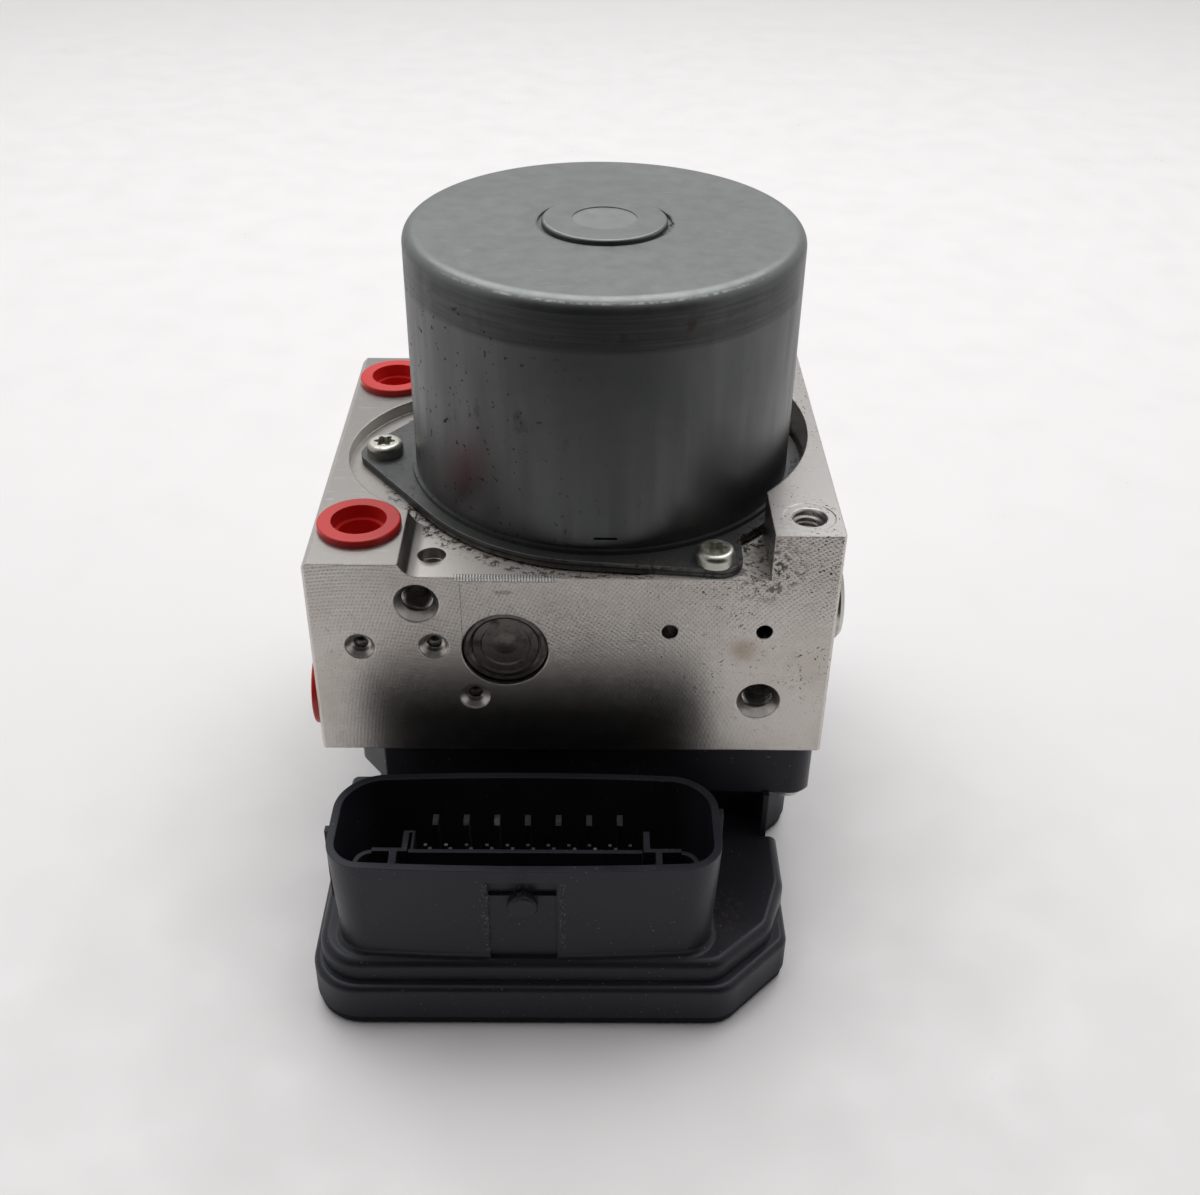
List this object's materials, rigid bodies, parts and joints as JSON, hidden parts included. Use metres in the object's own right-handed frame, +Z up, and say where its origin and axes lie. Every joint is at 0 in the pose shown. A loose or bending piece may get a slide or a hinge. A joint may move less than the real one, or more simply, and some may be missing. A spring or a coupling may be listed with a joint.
{
  "type": "abs brake module",
  "caption": "Anti-lock brake module: machined valve block with pump motor on top, control unit with plug socket below, and capped hydraulic ports.",
  "frame": {"origin": "on the motor's axis, at the underside of the control unit's lid", "axes": "+Z up along the motor's axis, -Y towards the plug socket, +X towards the raised land"},
  "size_m": [0.1034, 0.1253, 0.1335],
  "materials": {
    "cast_aluminium": "machined, lightly scratched",
    "motor_steel": "grey plated sheet steel",
    "flange_steel": "dark plated sheet steel",
    "zinc_steel": "zinc plated",
    "bright_steel": "ground",
    "red_plastic": "moulded",
    "black_plastic": "moulded, slightly glossy",
    "copper": "enamelled wire",
    "copper_bars": "turned",
    "ferrite": "sintered",
    "laminations": "pressed sheet",
    "brown_plastic": "moulded",
    "carbon": "pressed carbon",
    "board_green": "solder mask",
    "tin": "tin plated",
    "seal_rubber": "moulded"
  },
  "bodies": {
    "module": {"valve_block": "cast_aluminium", "motor_flange": "flange_steel", "motor_can": "motor_steel", "motor_screws": "zinc_steel", "rear_bearing": "bright_steel", "front_bearing": "bright_steel", "magnet_right": "ferrite", "magnet_left": "ferrite", "brush_holder": "brown_plastic", "brush_right": "carbon", "brush_left": "carbon", "motor_leads": "brown_plastic", "top_port_plug_front": "red_plastic", "top_port_plug_rear": "red_plastic", "side_port_plug_1": "red_plastic", "side_port_plug_2": "red_plastic", "side_port_plug_3": "red_plastic", "side_port_plug_4": "red_plastic", "accumulator_spring_front": "bright_steel", "accumulator_spring_rear": "bright_steel", "accumulator_cap_front": "zinc_steel", "accumulator_cap_rear": "zinc_steel", "pump_piston_right": "bright_steel", "pump_piston_left": "bright_steel", "pump_sleeve_right": "bright_steel", "pump_sleeve_left": "bright_steel", "pump_spring_right": "bright_steel", "pump_spring_left": "bright_steel", "pump_cap_right": "zinc_steel", "pump_cap_left": "zinc_steel", "damper_caps": "zinc_steel", "sealing_balls": "bright_steel", "inlet_valves": "bright_steel", "outlet_valves": "bright_steel", "inlet_coils": "brown_plastic", "outlet_coils": "brown_plastic", "ecu_housing": "black_plastic", "ecu_lid": "black_plastic", "ecu_seal": "seal_rubber", "circuit_board": "board_green", "power_pins": "tin", "signal_pins": "tin", "ecu_screws": "zinc_steel"},
    "rotor": {"motor_shaft": "bright_steel", "armature_core": "laminations", "armature_windings": "copper", "commutator": "copper_bars", "eccentric_ring": "bright_steel", "rear_bearing_inner_race": "bright_steel", "front_bearing_inner_race": "bright_steel"},
    "accumulator_front": {"accumulator_piston_front": "cast_aluminium"},
    "accumulator_rear": {"accumulator_piston_rear": "cast_aluminium"},
    "inlet_plunger_1": {"inlet_armature_1": "laminations"},
    "inlet_plunger_2": {"inlet_armature_2": "laminations"},
    "inlet_plunger_3": {"inlet_armature_3": "laminations"},
    "inlet_plunger_4": {"inlet_armature_4": "laminations"},
    "outlet_plunger_1": {"outlet_armature_1": "laminations"},
    "outlet_plunger_2": {"outlet_armature_2": "laminations"},
    "outlet_plunger_3": {"outlet_armature_3": "laminations"},
    "outlet_plunger_4": {"outlet_armature_4": "laminations"}
  },
  "joints": [
    {"name": "motor_spin", "type": "hinge", "parent": "module", "child": "rotor", "pos_m": [0, 0, 0.1], "axis": [0, 0, 1], "continuous": true},
    {"name": "accumulator_front_slide", "type": "slide", "parent": "module", "child": "accumulator_front", "axis": [0, -1, 0], "range_m": [0, 0.006], "stiffness_N_per_m": 3000, "springref_m": -0.001, "deforming": ["accumulator_spring_front"]},
    {"name": "accumulator_rear_slide", "type": "slide", "parent": "module", "child": "accumulator_rear", "axis": [0, 1, 0], "range_m": [0, 0.006], "stiffness_N_per_m": 3000, "springref_m": -0.001, "deforming": ["accumulator_spring_rear"]},
    {"name": "inlet_valve_1_lift", "type": "slide", "parent": "module", "child": "inlet_plunger_1", "axis": [0, 0, 1], "range_m": [0, 0.0004], "stiffness_N_per_m": 500, "springref_m": -0.0005},
    {"name": "inlet_valve_2_lift", "type": "slide", "parent": "module", "child": "inlet_plunger_2", "axis": [0, 0, 1], "range_m": [0, 0.0004], "stiffness_N_per_m": 500, "springref_m": -0.0005},
    {"name": "inlet_valve_3_lift", "type": "slide", "parent": "module", "child": "inlet_plunger_3", "axis": [0, 0, 1], "range_m": [0, 0.0004], "stiffness_N_per_m": 500, "springref_m": -0.0005},
    {"name": "inlet_valve_4_lift", "type": "slide", "parent": "module", "child": "inlet_plunger_4", "axis": [0, 0, 1], "range_m": [0, 0.0004], "stiffness_N_per_m": 500, "springref_m": -0.0005},
    {"name": "outlet_valve_1_lift", "type": "slide", "parent": "module", "child": "outlet_plunger_1", "axis": [0, 0, 1], "range_m": [0, 0.0004], "stiffness_N_per_m": 500, "springref_m": -0.0005},
    {"name": "outlet_valve_2_lift", "type": "slide", "parent": "module", "child": "outlet_plunger_2", "axis": [0, 0, 1], "range_m": [0, 0.0004], "stiffness_N_per_m": 500, "springref_m": -0.0005},
    {"name": "outlet_valve_3_lift", "type": "slide", "parent": "module", "child": "outlet_plunger_3", "axis": [0, 0, 1], "range_m": [0, 0.0004], "stiffness_N_per_m": 500, "springref_m": -0.0005},
    {"name": "outlet_valve_4_lift", "type": "slide", "parent": "module", "child": "outlet_plunger_4", "axis": [0, 0, 1], "range_m": [0, 0.0004], "stiffness_N_per_m": 500, "springref_m": -0.0005}
  ]
}
